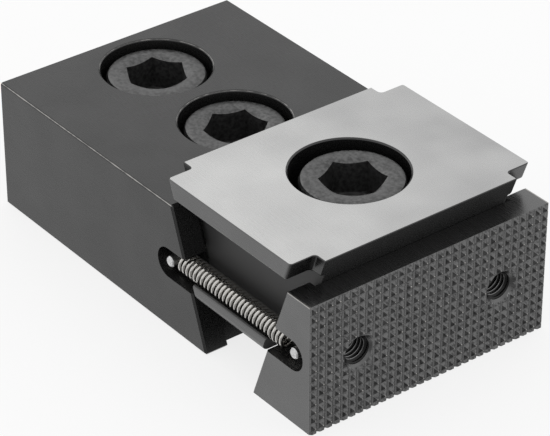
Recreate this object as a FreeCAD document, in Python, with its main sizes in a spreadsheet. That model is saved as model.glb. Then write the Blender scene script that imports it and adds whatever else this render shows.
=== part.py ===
"""Low-profile wedge clamp: a fixed body, a jaw, and a double wedge that a screw pulls down between them.

The origin lies on the base plane, midway between the two mounting screws.
+X points from the fixed body to the jaw, +Z up. Lengths are in millimetres.
"""
import FreeCAD, Part
import math
import os
import Sketcher

NODES_FOLDER = "parts"

# Each size that can be set by itself, written once. Angles are in degrees.
SIZES = {
    # fixed body
    "clamp_width": 50.0,
    "body_height": 25.0,
    "body_top_length": 51.2,
    "incline_angle": 20.0,
    "block_bevel": 0.35,
    # mounting screws and their counterbores
    "rear_screw_setback": 12.4,
    "mounting_screw_spacing": 23.2,
    "mounting_head_sink": 1.2,
    "body_hole_diameter": 14.5,
    "body_counterbore_diameter": 20.0,
    "counterbore_rim": 0.3,
    # socket head cap screws
    "screw_diameter": 12.0,
    "screw_head_diameter": 18.0,
    "screw_head_height": 12.0,
    "screw_head_bevel": 0.75,
    "screw_key_width": 10.0,
    "screw_key_depth": 6.0,
    "screw_key_lead_in": 0.15,
    "screw_tip_bevel": 1.0,
    "mounting_screw_length": 25.0,
    "clamping_screw_length": 30.0,
    "rear_key_angle": 33.0,
    "front_key_angle": 7.0,
    "clamping_key_angle": 56.0,
    # how the wedge slides between the two inclines
    "clamping_travel": 5.0,
    "guide_recess_width": 41.0,
    "guide_recess_depth": 1.6,
    "guide_side_play": 0.5,
    "guide_height": 2.5,
    "running_clearance": 0.04,
    # wedge
    "wedge_flange_length": 32.5,
    "wedge_flange_thickness": 3.6,
    "wedge_height": 20.7,
    "wedge_rib_height": 3.0,
    "wedge_rib_lower_round": 1.7,
    "wedge_rib_lip_round": 0.4,
    "wedge_flange_round": 0.5,
    "wedge_corner_round": 0.6,
    "wedge_notch_round": 0.7,
    "wedge_bevel": 0.2,
    "wedge_hole_diameter": 14.2,
    "wedge_counterbore_diameter": 20.4,
    "clamping_head_sink": 0.9,
    # hardened washer under the head of the clamping screw
    "washer_diameter": 18.0,
    "washer_hole_diameter": 13.0,
    "washer_thickness": 2.0,
    "washer_bevel": 0.25,
    # spring slots, springs and the pins that they hook on
    "slot_height": 5.7,
    "spring_drop": 11.8,
    "spring_diameter": 3.7,
    "spring_wire": 0.62,
    "spring_turns": 28.0,
    "spring_channel_gap": 0.25,
    "spring_hook_clearance": 0.1,
    "spring_body_setback": 1.35,
    "spring_jaw_setback": 3.75,
    "spring_facets_a_turn": 9.0,
    "hook_opening_angle": 30.0,
    "pin_diameter": 2.0,
    "pin_length": 6.6,
    "pin_sink": 0.35,
    "pin_setback": 5.6,
    "pin_bevel": 0.2,
    # jaw
    "jaw_top_drop": 0.4,
    "jaw_top_thickness": 6.65,
    "jaw_hole_spacing": 30.0,
    "jaw_hole_height": 12.0,
    "jaw_hole_diameter": 5.0,
    "jaw_hole_depth": 7.0,
    "jaw_hole_countersink": 0.4,
    "serration_columns": 31.0,
    "serration_angle": 90.0,
}

doc = FreeCAD.newDocument("wedge_clamp")
sheet = doc.addObject("Spreadsheet::Sheet", "Sizes")


class Size:
    """A length with its value and the formula that ties it to the sheet."""

    def __init__(self, value, formula):
        self.value = float(value)
        self.formula = formula

    def __add__(self, other):
        other = as_size(other)
        return Size(self.value + other.value, f"({self.formula} + {other.formula})")

    def __sub__(self, other):
        other = as_size(other)
        return Size(self.value - other.value, f"({self.formula} - {other.formula})")

    def __mul__(self, other):
        other = as_size(other)
        return Size(self.value * other.value, f"({self.formula} * {other.formula})")

    def __truediv__(self, other):
        other = as_size(other)
        return Size(self.value / other.value, f"({self.formula} / {other.formula})")

    def __neg__(self):
        return Size(-self.value, f"(0 - {self.formula})")

    def __radd__(self, other):
        return as_size(other) + self

    def __rsub__(self, other):
        return as_size(other) - self

    def __rmul__(self, other):
        return as_size(other) * self


def as_size(item):
    return item if isinstance(item, Size) else Size(item, f"{item}")


def sine(angle):
    return Size(math.sin(math.radians(angle.value)), f"sin({angle.formula} * 1 deg)")


def cosine(angle):
    return Size(math.cos(math.radians(angle.value)), f"cos({angle.formula} * 1 deg)")


def tangent(angle):
    return Size(math.tan(math.radians(angle.value)), f"tan({angle.formula} * 1 deg)")


def fill_sheet():
    for row, (alias, value) in enumerate(SIZES.items(), start=1):
        sheet.set(f"A{row}", alias.replace("_", " "))
        sheet.set(f"B{row}", str(value))
        sheet.setAlias(f"B{row}", alias)
    doc.recompute()


def size(alias):
    return Size(sheet.get(alias), f"Sizes.{alias}")


def bind(thing, path, length):
    """Sets a property from a size, and keeps it bound to the sheet."""
    thing.setExpression(path, as_size(length).formula)


fill_sheet()

# Shared places, all worked out from the sheet

half_width = size("clamp_width") / 2
body_height = size("body_height")
slope = tangent(size("incline_angle"))
running_gap = size("running_clearance") / cosine(size("incline_angle"))
travel = size("clamping_travel")

mounting_screw_x = size("mounting_screw_spacing") / 2
rear_face = -(size("rear_screw_setback") + mounting_screw_x)
mounting_seat = body_height - size("mounting_head_sink") - size("screw_head_height")

wedge_top = body_height + travel
wedge_bottom = wedge_top - size("wedge_height")
flange_underside = wedge_top - size("wedge_flange_thickness")
rib_top = wedge_bottom + size("wedge_rib_height")
guide_width = size("guide_recess_width") - 2 * size("guide_side_play")

slot_radius = size("slot_height") / 2
slot_floor = half_width - size("slot_height")
spring_y = half_width - slot_radius
spring_height = body_height - size("spring_drop")
spring_radius = size("spring_diameter") / 2
channel_centre_height = spring_height - spring_radius - size("spring_channel_gap") + slot_radius
pin_y = half_width - size("pin_sink") - size("pin_length") / 2

serration_pitch = size("clamp_width") / size("serration_columns")
serration_depth = serration_pitch / 2 / tangent(size("serration_angle") / 2)


def body_incline(height):
    """X of the fixed body's inclined face at a height."""
    return rear_face + size("body_top_length") + (body_height - height) * slope


def guide_back(height):
    """X of the wedge's rear guide face, which slides on the floor of the body's recess."""
    return body_incline(height) - size("guide_recess_depth") + running_gap


def guide_front(height):
    """X of the wedge's front guide face. The two guide faces close in on each other downwards."""
    length_at_top = size("wedge_flange_length") + 2 * size("guide_height")
    return guide_back(wedge_top) + length_at_top - (wedge_top - height) * slope


def flange_back(height):
    return guide_back(height) + size("guide_height")


def flange_front(height):
    return guide_front(height) - size("guide_height")


def jaw_incline(height):
    """X of the jaw's inclined face at a height."""
    return guide_front(height) + running_gap - size("guide_recess_depth")


jaw_face = jaw_incline(body_height) + size("jaw_top_thickness")
jaw_height = body_height - size("jaw_top_drop")
wedge_centre = (guide_back(wedge_top) + guide_front(wedge_top)) / 2
# The screw stays put while the wedge moves sideways past it, so it starts half that way off centre.
clamping_screw_x = wedge_centre + travel * slope / 2
clamping_seat = wedge_top - size("clamping_head_sink") - size("screw_head_height")
washer_seat = clamping_seat - size("washer_thickness")
body_pin_x = body_incline(spring_height) - size("pin_setback")
jaw_pin_x = jaw_incline(spring_height) + size("pin_setback")

# Past any face, for cuts that run out of a piece
margin = as_size(2)
# Each piece's volume after its last feature
volumes = {}


def new_piece(name):
    piece = doc.addObject("PartDesign::Body", name)
    piece.Label = name
    return piece


def place(piece, x=0, y=0, z=0):
    for axis, length in (("x", x), ("y", y), ("z", z)):
        bind(piece, f"Placement.Base.{axis}", length)


def origin_item(piece, role):
    return next(item for item in piece.Origin.OriginFeatures if item.Role == role)


def new_sketch(piece, name, plane, offset=0, across=0):
    """A sketch on one of the piece's own planes, moved along its normal and along its first axis."""
    sketch = piece.newObject("Sketcher::SketchObject", name)
    sketch.AttachmentSupport = [(origin_item(piece, plane), "")]
    sketch.MapMode = "FlatFace"
    bind(sketch, "AttachmentOffset.Base.z", offset)
    bind(sketch, "AttachmentOffset.Base.x", across)
    return sketch


def tie(sketch, kind, curve, end, length):
    """Ties one end of a curve, or its centre, to a distance from the sketch's origin."""
    length = as_size(length)
    index = sketch.addConstraint(Sketcher.Constraint(kind, -1, 1, curve, end, length.value))
    bind(sketch, f"Constraints[{index}]", length)


def fix_point(sketch, curve, end, point):
    tie(sketch, "DistanceX", curve, end, point[0])
    tie(sketch, "DistanceY", curve, end, point[1])


def vector(point):
    return FreeCAD.Vector(as_size(point[0]).value, as_size(point[1]).value, 0)


def draw_outline(sketch, corners):
    """A closed outline of straight lines through its corners."""
    count = len(corners)
    first = sketch.GeometryCount
    for number, corner in enumerate(corners):
        line = Part.LineSegment(vector(corner), vector(corners[(number + 1) % count]))
        sketch.addGeometry(line, False)
    for number, corner in enumerate(corners):
        after = first + (number + 1) % count
        sketch.addConstraint(Sketcher.Constraint("Coincident", first + number, 2, after, 1))
        fix_point(sketch, first + number, 1, corner)


def draw_circle(sketch, centre, diameter):
    radius = as_size(diameter) / 2
    circle = Part.Circle(vector(centre), FreeCAD.Vector(0, 0, 1), radius.value)
    curve = sketch.addGeometry(circle, False)
    fix_point(sketch, curve, 3, centre)
    index = sketch.addConstraint(Sketcher.Constraint("Radius", curve, radius.value))
    bind(sketch, f"Constraints[{index}]", radius)


def draw_round_end(sketch, centre, radius, outward, reach):
    """A slot's outline: a half circle about its centre, and two edges that run on to reach.

    outward is "left" or "right" for a level slot, with its round end that way, and
    "down" for an upright one.
    """
    across, up = centre
    if outward == "down":
        ends = [(across - radius, up), (across + radius, up)]
        far = [(across + radius, reach), (across - radius, reach)]
        start_angle = math.pi
    else:
        ends = [(across, up + radius), (across, up - radius)]
        far = [(reach, up - radius), (reach, up + radius)]
        start_angle = math.pi / 2
        if outward == "right":
            ends.reverse()
            far.reverse()
            start_angle = -math.pi / 2
    circle = Part.Circle(vector(centre), FreeCAD.Vector(0, 0, 1), as_size(radius).value)
    arc = sketch.addGeometry(Part.ArcOfCircle(circle, start_angle, start_angle + math.pi), False)
    path = [ends[1], *far, ends[0]]
    lines = []
    for start, finish in zip(path[:-1], path[1:]):
        lines.append(sketch.addGeometry(Part.LineSegment(vector(start), vector(finish)), False))
    for line, start in zip(lines, path):
        fix_point(sketch, line, 1, start)
    for before, after in zip(lines[:-1], lines[1:]):
        sketch.addConstraint(Sketcher.Constraint("Coincident", before, 2, after, 1))
    fix_point(sketch, lines[-1], 2, ends[0])
    sketch.addConstraint(Sketcher.Constraint("Coincident", arc, 2, lines[0], 1))
    sketch.addConstraint(Sketcher.Constraint("Coincident", arc, 1, lines[-1], 2))
    # The edges set the radius, so the centre needs only its place along the slot.
    kind, along = ("DistanceY", up) if outward == "down" else ("DistanceX", across)
    tie(sketch, kind, arc, 3, along)


def close_feature(piece, feature, change):
    """Recomputes, and stops if the feature failed or didn't add or cut what it should."""
    before = volumes.get(piece.Name, 0.0)
    piece.Tip = feature
    doc.recompute()
    volume = feature.Shape.Volume
    changed = volume > before if change == "adds" else volume < before
    if not changed or not feature.isValid():
        raise RuntimeError(f"{feature.Label} of {piece.Label} {change} nothing: {before} to {volume}")
    volumes[piece.Name] = volume
    return feature


def pad(piece, sketch, length, name, reverse=False, symmetric=True):
    feature = piece.newObject("PartDesign::Pad", name)
    feature.Profile = sketch
    feature.SideType = "Symmetric" if symmetric else "One side"
    feature.Reversed = reverse
    bind(feature, "Length", length)
    return close_feature(piece, feature, "adds")


def pocket(piece, sketch, name, length=None, reverse=False, symmetric=False):
    """A cut as deep as length, or right through. It runs against the sketch's normal unless reversed."""
    feature = piece.newObject("PartDesign::Pocket", name)
    feature.Profile = sketch
    feature.SideType = "Symmetric" if symmetric else "One side"
    feature.Reversed = reverse
    if length is None:
        feature.Type = "ThroughAll"
    else:
        bind(feature, "Length", length)
    return close_feature(piece, feature, "cuts")


def groove(piece, sketch, name):
    """Material turned away all round the sketch's upright axis."""
    feature = piece.newObject("PartDesign::Groove", name)
    feature.Profile = sketch
    feature.ReferenceAxis = (sketch, ["V_Axis"])
    feature.Angle = 360
    return close_feature(piece, feature, "cuts")


def repeat(piece, originals, axis, length, count, name, reverse=False):
    """A row of copies over a length. count may be a number or a formula."""
    feature = piece.newObject("PartDesign::LinearPattern", name)
    feature.Originals = originals
    feature.Direction = (origin_item(piece, axis), [""])
    feature.Reversed = reverse
    bind(feature, "Length", length)
    bind(feature, "Occurrences", count)
    return close_feature(piece, feature, "cuts")


def mirror(piece, originals, plane, name, change="cuts"):
    feature = piece.newObject("PartDesign::Mirrored", name)
    feature.Originals = originals
    feature.MirrorPlane = (origin_item(piece, plane), [""])
    return close_feature(piece, feature, change)


def edges_where(feature, test):
    return [f"Edge{number}" for number, edge in enumerate(feature.Shape.Edges, start=1) if test(edge)]


def dress(piece, kind, feature, names, length, name, change="cuts"):
    """A fillet or a chamfer on the named edges."""
    dressed = piece.newObject(f"PartDesign::{kind}", name)
    dressed.Base = (feature, names)
    bind(dressed, "Radius" if kind == "Fillet" else "Size", length)
    return close_feature(piece, dressed, change)


def near(first, second, slack=0.01):
    return abs(first - second) < slack


def runs_along(edge, axis):
    """True for a straight edge along X, Y or Z, given as 0, 1 or 2."""
    box = edge.BoundBox
    spans = [box.XLength, box.YLength, box.ZLength]
    longest = spans.pop(axis)
    return longest > 0.1 and max(spans) < 0.001


def cut_screw_hole(piece, name, x, seat, hole, counterbore, top, bottom):
    """A through hole with a counterbore down to the seat, and its rim broken, turned about x."""
    rim = size("counterbore_rim")
    sketch = new_sketch(piece, f"{name}_section", "XZ_Plane", across=x)
    draw_outline(sketch, [
        (0, bottom - margin),
        (hole / 2, bottom - margin),
        (hole / 2, seat),
        (counterbore / 2, seat),
        (counterbore / 2, top - rim),
        (counterbore / 2 + rim + margin, top + margin),
        (0, top + margin),
    ])
    return groove(piece, sketch, name)


def cut_spring_slot(piece, x, outward, reach):
    """The round-ended slot of each side face, and the seat of its pin in the slot's floor."""
    sketch = new_sketch(piece, "slot_outline", "XZ_Plane", offset=slot_floor)
    draw_round_end(sketch, (x, spring_height), slot_radius, outward, reach)
    slot = pocket(piece, sketch, "slot", reverse=True)
    sketch = new_sketch(piece, "pin_seat_outline", "XZ_Plane", offset=pin_y - size("pin_length") / 2)
    draw_circle(sketch, (x, spring_height), size("pin_diameter"))
    seat = pocket(piece, sketch, "pin_seat", reverse=True)
    mirror(piece, [slot, seat], "XZ_Plane", "other_side")


def make_fixed_body():
    piece = new_piece("fixed_body")
    sketch = new_sketch(piece, "side_profile", "XZ_Plane")
    draw_outline(sketch, [
        (rear_face, 0),
        (body_incline(0), 0),
        (body_incline(body_height), body_height),
        (rear_face, body_height),
    ])
    block = pad(piece, sketch, size("clamp_width"), "block")
    every_edge = edges_where(block, lambda edge: True)
    dress(piece, "Chamfer", block, every_edge, size("block_bevel"), "broken_edges")

    depth = size("guide_recess_depth")
    sketch = new_sketch(piece, "recess_profile", "XZ_Plane")
    draw_outline(sketch, [
        (body_incline(-margin) - depth, -margin),
        (body_incline(-margin) + margin, -margin),
        (body_incline(body_height + margin) + margin, body_height + margin),
        (body_incline(body_height + margin) - depth, body_height + margin),
    ])
    pocket(piece, sketch, "guide_recess", size("guide_recess_width"), symmetric=True)

    hole = cut_screw_hole(
        piece, "rear_screw_hole", -mounting_screw_x, mounting_seat,
        size("body_hole_diameter"), size("body_counterbore_diameter"), body_height, as_size(0),
    )
    repeat(piece, [hole], "X_Axis", size("mounting_screw_spacing"), 2, "both_screw_holes")
    cut_spring_slot(piece, body_pin_x, "left", body_incline(0) + margin)
    return piece


def make_wedge():
    piece = new_piece("wedge")
    sketch = new_sketch(piece, "flange_profile", "XZ_Plane")
    draw_outline(sketch, [
        (flange_back(wedge_bottom), wedge_bottom),
        (flange_front(wedge_bottom), wedge_bottom),
        (flange_front(wedge_top), wedge_top),
        (flange_back(wedge_top), wedge_top),
    ])
    blank = pad(piece, sketch, size("clamp_width"), "flanged_blank")

    lower = edges_where(
        blank,
        lambda edge: runs_along(edge, 0) and near(edge.BoundBox.ZMax, wedge_bottom.value),
    )
    dress(piece, "Fillet", blank, lower, size("wedge_rib_lower_round"), "rib_lower_rounds")

    sketch = new_sketch(piece, "guide_profile", "XZ_Plane")
    draw_outline(sketch, [
        (guide_back(wedge_bottom), wedge_bottom),
        (guide_front(wedge_bottom), wedge_bottom),
        (guide_front(wedge_top), wedge_top),
        (guide_back(wedge_top), wedge_top),
    ])
    pad(piece, sketch, guide_width, "sliding_guides")

    sketch = new_sketch(piece, "channel_section", "YZ_Plane", offset=guide_back(wedge_top) - margin)
    draw_round_end(sketch, (-spring_y, channel_centre_height), slot_radius, "down", flange_underside)
    reach = guide_front(wedge_top) - guide_back(wedge_top) + 2 * margin
    channel = pocket(piece, sketch, "spring_channel", reach, reverse=True)
    sketch = new_sketch(piece, "channel_mouth_section", "YZ_Plane", offset=guide_back(wedge_top) - margin)
    draw_outline(sketch, [
        (-half_width - margin, rib_top),
        (-spring_y, rib_top),
        (-spring_y, flange_underside),
        (-half_width - margin, flange_underside),
    ])
    mouth = pocket(piece, sketch, "channel_mouth", reach, reverse=True)
    both = mirror(piece, [channel, mouth], "XZ_Plane", "both_channels")

    def on_side(edge):
        box = edge.BoundBox
        return near(box.YMax, -half_width.value) or near(box.YMin, half_width.value)

    lips = edges_where(
        both,
        lambda edge: runs_along(edge, 0) and on_side(edge) and near(edge.BoundBox.ZMin, rib_top.value),
    )
    rounded = dress(piece, "Fillet", both, lips, size("wedge_rib_lip_round"), "rib_lips")

    def is_flange_corner(edge):
        return on_side(edge) and edge.BoundBox.ZLength > 1 and edge.BoundBox.ZMax > flange_underside.value

    def is_flange_lower_edge(edge):
        return runs_along(edge, 0) and on_side(edge) and near(edge.BoundBox.ZMin, flange_underside.value)

    def is_notch_corner(edge):
        box = edge.BoundBox
        at_back = near(box.XMin, flange_back(wedge_top).value)
        at_front = near(box.XMax, flange_front(wedge_top).value)
        return (at_back or at_front) and box.YLength < 0.01 and not on_side(edge)

    corners = edges_where(rounded, is_flange_corner)
    rounded = dress(piece, "Fillet", rounded, corners, size("wedge_corner_round"), "flange_corners")
    notches = edges_where(rounded, is_notch_corner)
    notch_round = size("wedge_notch_round")
    rounded = dress(piece, "Fillet", rounded, notches, notch_round, "notch_corners", change="adds")
    under = edges_where(rounded, is_flange_lower_edge)
    rounded = dress(piece, "Fillet", rounded, under, size("wedge_flange_round"), "flange_lower_edges")
    top = edges_where(rounded, lambda edge: near(edge.BoundBox.ZMin, wedge_top.value))
    dress(piece, "Chamfer", rounded, top, size("wedge_bevel"), "top_bevel")

    cut_screw_hole(
        piece, "clamping_screw_hole", wedge_centre, washer_seat,
        size("wedge_hole_diameter"), size("wedge_counterbore_diameter"), wedge_top, wedge_bottom,
    )
    return piece


def make_clamping_jaw():
    piece = new_piece("clamping_jaw")
    sketch = new_sketch(piece, "side_profile", "XZ_Plane")
    draw_outline(sketch, [
        (jaw_incline(0), 0),
        (jaw_face, 0),
        (jaw_face, jaw_height),
        (jaw_incline(jaw_height), jaw_height),
    ])
    block = pad(piece, sketch, size("clamp_width"), "block")
    inner = edges_where(block, lambda edge: edge.BoundBox.XMax < jaw_face.value - 0.01)
    dress(piece, "Chamfer", block, inner, size("block_bevel"), "broken_edges")

    depth = size("guide_recess_depth")
    sketch = new_sketch(piece, "recess_profile", "XZ_Plane")
    draw_outline(sketch, [
        (jaw_incline(-margin) + depth, -margin),
        (jaw_incline(body_height + margin) + depth, body_height + margin),
        (jaw_incline(body_height + margin) - margin, body_height + margin),
        (jaw_incline(-margin) - margin, -margin),
    ])
    pocket(piece, sketch, "guide_recess", size("guide_recess_width"), symmetric=True)
    cut_spring_slot(piece, jaw_pin_x, "right", jaw_incline(0) - margin)

    countersink = size("jaw_hole_countersink")
    radius = size("jaw_hole_diameter") / 2
    bottom = jaw_face - size("jaw_hole_depth")
    sketch = new_sketch(piece, "jaw_hole_section", "XY_Plane", offset=size("jaw_hole_height"))
    centre = -size("jaw_hole_spacing") / 2
    draw_outline(sketch, [
        (bottom - radius / 2, centre),
        (jaw_face + margin, centre),
        (jaw_face + margin, centre + radius + countersink + serration_depth + margin),
        (jaw_face - serration_depth - countersink, centre + radius),
        (bottom, centre + radius),
    ])
    hole = piece.newObject("PartDesign::Groove", "jaw_hole")
    hole.Profile = sketch
    hole.ReferenceAxis = (sketch, ["Edge1"])
    hole.Angle = 360
    close_feature(piece, hole, "cuts")
    mirror(piece, [hole], "XZ_Plane", "both_jaw_holes")
    cut_serrations(piece)
    return piece


def cut_serrations(piece):
    """Two rows of V-grooves, upright and level, which leave rows of small pyramids.

    The upright grooves start at one side and end at the other. The level ones start at the top.
    """
    pitch = serration_pitch
    columns = size("serration_columns")
    sketch = new_sketch(piece, "upright_groove_section", "XY_Plane")
    outer = jaw_face + serration_depth
    first = -half_width
    draw_outline(sketch, [
        (outer, first - pitch),
        (jaw_face - serration_depth, first),
        (outer, first + pitch),
    ])
    upright = pocket(piece, sketch, "upright_groove", reverse=True)
    count = Size(math.floor(columns.value) + 1, f"(floor({columns.formula}) + 1)")
    repeat(piece, [upright], "Y_Axis", (count - 1) * pitch, count, "upright_grooves")

    rows = jaw_height / pitch
    sketch = new_sketch(piece, "level_groove_section", "XZ_Plane")
    draw_outline(sketch, [
        (outer, jaw_height - pitch),
        (jaw_face - serration_depth, jaw_height),
        (outer, jaw_height + pitch),
    ])
    level = pocket(piece, sketch, "level_groove", symmetric=True)
    count = Size(math.floor(rows.value) + 1, f"(floor({rows.formula}) + 1)")
    repeat(piece, [level], "Z_Axis", (count - 1) * pitch, count, "level_grooves", reverse=True)


def make_screw(name, length, key_angle):
    """A socket head cap screw with the underside of its head at its own origin."""
    piece = new_piece(name)
    shank = size("screw_diameter") / 2
    head = size("screw_head_diameter") / 2
    top = size("screw_head_height")
    bevel = size("screw_head_bevel")
    tip = size("screw_tip_bevel")
    sketch = new_sketch(piece, "half_section", "XZ_Plane")
    draw_outline(sketch, [
        (0, -length),
        (shank - tip, -length),
        (shank, tip - length),
        (shank, 0),
        (head, 0),
        (head, top - bevel),
        (head - bevel, top),
        (0, top),
    ])
    turned = piece.newObject("PartDesign::Revolution", "turned_form")
    turned.Profile = sketch
    turned.ReferenceAxis = (sketch, ["V_Axis"])
    turned.Angle = 360
    close_feature(piece, turned, "adds")

    corner_radius = size("screw_key_width") / 2 / cosine(as_size(30))
    angles = [key_angle + 60 * number for number in range(6)]
    sketch = new_sketch(piece, "key_outline", "XY_Plane", offset=top)
    draw_outline(sketch, [(corner_radius * cosine(angle), corner_radius * sine(angle)) for angle in angles])
    pocket(piece, sketch, "key_socket", size("screw_key_depth"))

    lead_in = corner_radius + size("screw_key_lead_in")
    drill = size("screw_key_width") / 2
    floor = top - size("screw_key_depth")
    sketch = new_sketch(piece, "drill_section", "XZ_Plane")
    draw_outline(sketch, [
        (0, floor - drill / 2),
        (drill, floor),
        (drill, top - (lead_in - drill) / 2),
        (lead_in, top),
        (lead_in, top + margin),
        (0, top + margin),
    ])
    groove(piece, sketch, "drill_point_and_lead_in")
    return piece


def make_washer():
    piece = new_piece("clamping_washer")
    thickness = size("washer_thickness")
    bevel = size("washer_bevel")
    outer = size("washer_diameter") / 2
    inner = size("washer_hole_diameter") / 2
    sketch = new_sketch(piece, "ring_section", "XZ_Plane")
    draw_outline(sketch, [
        (inner, 0),
        (outer, 0),
        (outer, thickness - bevel),
        (outer - bevel, thickness),
        (inner, thickness),
    ])
    ring = piece.newObject("PartDesign::Revolution", "turned_ring")
    ring.Profile = sketch
    ring.ReferenceAxis = (sketch, ["V_Axis"])
    ring.Angle = 360
    close_feature(piece, ring, "adds")
    return piece


def make_pin(name):
    """A plain pin about its own Y axis, bevelled at both ends."""
    piece = new_piece(name)
    sketch = new_sketch(piece, "section", "XZ_Plane")
    draw_circle(sketch, (0, 0), size("pin_diameter"))
    rod = pad(piece, sketch, size("pin_length"), "rod")
    ends = edges_where(rod, lambda edge: edge.BoundBox.YLength < 0.01)
    dress(piece, "Chamfer", rod, ends, size("pin_bevel"), "end_bevels")
    return piece


def wire_section(centre, outward, across, radius):
    """A four-cornered section of a wire, with one corner on its outer side."""
    corners = [centre + radius * arm for arm in (outward, across, -outward, -across)]
    return Part.makePolygon([*corners, corners[0]])


def make_spring(name):
    """An extension spring along its own X axis, with its origin midway between its pins.

    Its wire is a faceted helix, nearer to the body's pin than to the jaw's. At each end the wire
    runs on from the top of the coil and bends round the pin as a side hook, which pulls on the
    pin's far side.
    """
    wire = size("spring_wire").value / 2
    coil = spring_radius.value - wire
    half_span = (jaw_pin_x.value - body_pin_x.value) / 2
    body_setback = size("spring_body_setback").value
    jaw_setback = size("spring_jaw_setback").value
    coil_length = 2 * half_span - body_setback - jaw_setback
    turns = round(size("spring_turns").value)
    facets = round(size("spring_facets_a_turn").value)
    loop_x = coil - wire - size("pin_diameter").value / 2 - size("spring_hook_clearance").value - half_span
    hook_angle = 270 - size("hook_opening_angle").value

    along = FreeCAD.Vector(1, 0, 0)
    sideways = FreeCAD.Vector(0, 1, 0)
    sections = []
    for step in range(turns * facets + 1):
        turned = 2 * math.pi * step / facets
        outward = FreeCAD.Vector(0, math.sin(turned), math.cos(turned))
        middle = (body_setback - half_span + coil_length * step / (turns * facets)) * along
        sections.append(wire_section(middle + coil * outward, outward, along, wire))
    shape = Part.makeLoft(sections, True, True)

    upward = FreeCAD.Vector(0, 0, 1)
    steps = round(facets * hook_angle / 360)
    hooks = []
    for setback in (body_setback, jaw_setback):
        run_start = (wire + setback - half_span) * along
        sections = [wire_section(run_start + coil * upward, upward, sideways, wire)]
        for step in range(steps + 1):
            turned = math.radians(90 + hook_angle * step / steps)
            outward = FreeCAD.Vector(math.cos(turned), 0, math.sin(turned))
            sections.append(wire_section(loop_x * along + coil * outward, outward, sideways, wire))
        hooks.append(Part.makeLoft(sections, True, True))
    body_hook, jaw_hook = hooks
    jaw_hook = jaw_hook.mirror(FreeCAD.Vector(0, 0, 0), along)

    spring = doc.addObject("Part::Feature", name)
    spring.Label = name
    spring.Shape = shape.fuse([body_hook, jaw_hook])
    return spring


def make_all():
    pieces = [make_fixed_body(), make_wedge(), make_clamping_jaw()]
    for name, x, angle in (
        ("mounting_screw_rear", -mounting_screw_x, "rear_key_angle"),
        ("mounting_screw_front", mounting_screw_x, "front_key_angle"),
    ):
        screw = make_screw(name, size("mounting_screw_length"), size(angle))
        place(screw, x, 0, mounting_seat)
        pieces.append(screw)
    screw = make_screw("clamping_screw", size("clamping_screw_length"), size("clamping_key_angle"))
    place(screw, clamping_screw_x, 0, clamping_seat)
    pieces.append(screw)
    washer = make_washer()
    place(washer, clamping_screw_x, 0, washer_seat)
    pieces.append(washer)
    for side, sign in (("left", 1), ("right", -1)):
        for name, x in (("body_pin", body_pin_x), ("jaw_pin", jaw_pin_x)):
            pin = make_pin(f"{name}_{side}")
            place(pin, x, sign * pin_y, spring_height)
            pieces.append(pin)
        spring = make_spring(f"spring_{side}")
        place(spring, (body_pin_x + jaw_pin_x) / 2, sign * spring_y, spring_height)
        pieces.append(spring)
    return pieces


def check_and_write(pieces):
    doc.recompute()
    for item in doc.Objects:
        faults = {"Invalid", "Error"} & set(item.State)
        if faults:
            raise RuntimeError(f"{item.Label} is {sorted(faults)}")
    os.makedirs(NODES_FOLDER, exist_ok=True)
    for piece in pieces:
        shape = piece.Shape
        if shape.isNull() or not shape.isValid() or len(shape.Solids) != 1:
            raise RuntimeError(f"{piece.Label} isn't one valid solid")
        shape.exportStep(os.path.join(NODES_FOLDER, f"{piece.Label}.step"))
        box = shape.BoundBox
        ends = (box.XMin, box.XMax, box.YMin, box.YMax, box.ZMin, box.ZMax)
        reach = [round(end, 2) for end in ends]
        print(f"{piece.Label:22s} {shape.Volume:10.1f} mm3 {len(shape.Faces):5d} faces, from and to {reach}")


check_and_write(make_all())
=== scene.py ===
# %% [markdown]
# # A wedge clamp for a milling fixture
#
# The clamp is a steel block bolted to a plate, a wedge that a screw pulls down, and a jaw that the
# wedge drives forward. The solids come packed from CAD. This script dresses them: it gives each
# solid the finish of the real steel, and it makes what CAD leaves plain, which is the two coil
# springs, the screws with their threads and knurling, and the threads of the two jaw holes.
# All lengths are in metres, as in Blender. `MM` turns a millimetre into one.

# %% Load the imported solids
import itertools
import math

import bmesh
import bpy
from mathutils import Matrix, Vector


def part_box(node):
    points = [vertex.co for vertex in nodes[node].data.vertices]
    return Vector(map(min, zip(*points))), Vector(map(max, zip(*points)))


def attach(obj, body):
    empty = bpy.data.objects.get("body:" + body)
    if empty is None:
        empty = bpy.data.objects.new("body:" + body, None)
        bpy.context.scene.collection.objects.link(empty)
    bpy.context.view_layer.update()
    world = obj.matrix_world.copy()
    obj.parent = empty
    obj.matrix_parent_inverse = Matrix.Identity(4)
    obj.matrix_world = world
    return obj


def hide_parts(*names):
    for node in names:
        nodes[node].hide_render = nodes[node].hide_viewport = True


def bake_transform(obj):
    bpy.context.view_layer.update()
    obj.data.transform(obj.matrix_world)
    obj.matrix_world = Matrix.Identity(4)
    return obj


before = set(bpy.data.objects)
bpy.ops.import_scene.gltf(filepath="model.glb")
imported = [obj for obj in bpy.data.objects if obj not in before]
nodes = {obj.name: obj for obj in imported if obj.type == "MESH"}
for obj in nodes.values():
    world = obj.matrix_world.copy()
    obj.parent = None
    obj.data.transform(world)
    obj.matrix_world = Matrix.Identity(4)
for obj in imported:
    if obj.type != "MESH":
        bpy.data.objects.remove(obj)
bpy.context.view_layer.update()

MM = 0.001
print("solids:", ", ".join(sorted(nodes)))

# %% [markdown]
# ## The camera
#
# The photo was taken with a long lens from the right front, a third of the way up. The camera's
# place was worked out from the corners of the two blocks, so that the render lies over the photo.
# A camera looks along its own -Z, so its back is the direction from the object to the lens. One
# helper puts a new object into the scene, here the camera and further down each piece.

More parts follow.
